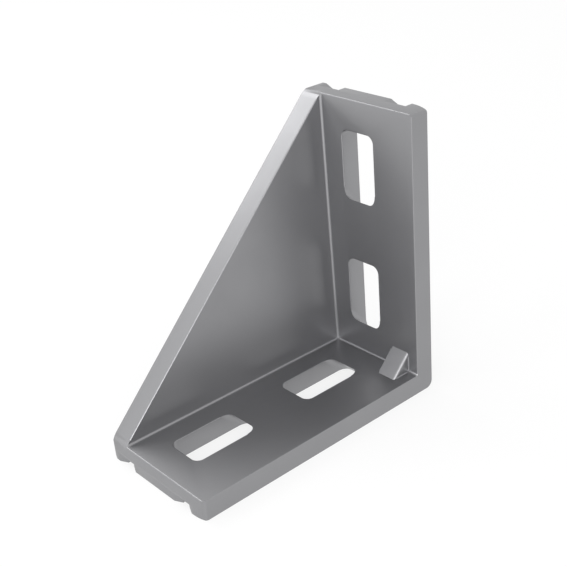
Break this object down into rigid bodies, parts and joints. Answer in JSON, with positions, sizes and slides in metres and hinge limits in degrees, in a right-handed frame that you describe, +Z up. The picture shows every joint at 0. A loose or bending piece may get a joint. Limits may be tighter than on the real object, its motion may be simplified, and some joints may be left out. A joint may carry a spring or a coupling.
{
  "type": "t slot corner bracket",
  "caption": "Right-angle corner bracket for slotted framing bars, cast in one piece, with a triangular web on one side, bolt slots through both legs and a small rib in the inner corner.",
  "frame": {"origin": "centre of the lower leg's mounting face, at mid width and mid length, under the centre of the bounding box", "axes": "+Z up along the rising leg; +Y from the lower leg's tip to the rising leg's mounting face; +X across the width, from the web's outer face at -X to the open side at +X"},
  "size_m": [0.0424, 0.088, 0.088],
  "materials": {
    "cast_aluminium": "satin, as cast"
  },
  "bodies": {
    "root": {"bracket": "cast_aluminium"}
  },
  "joints": []
}
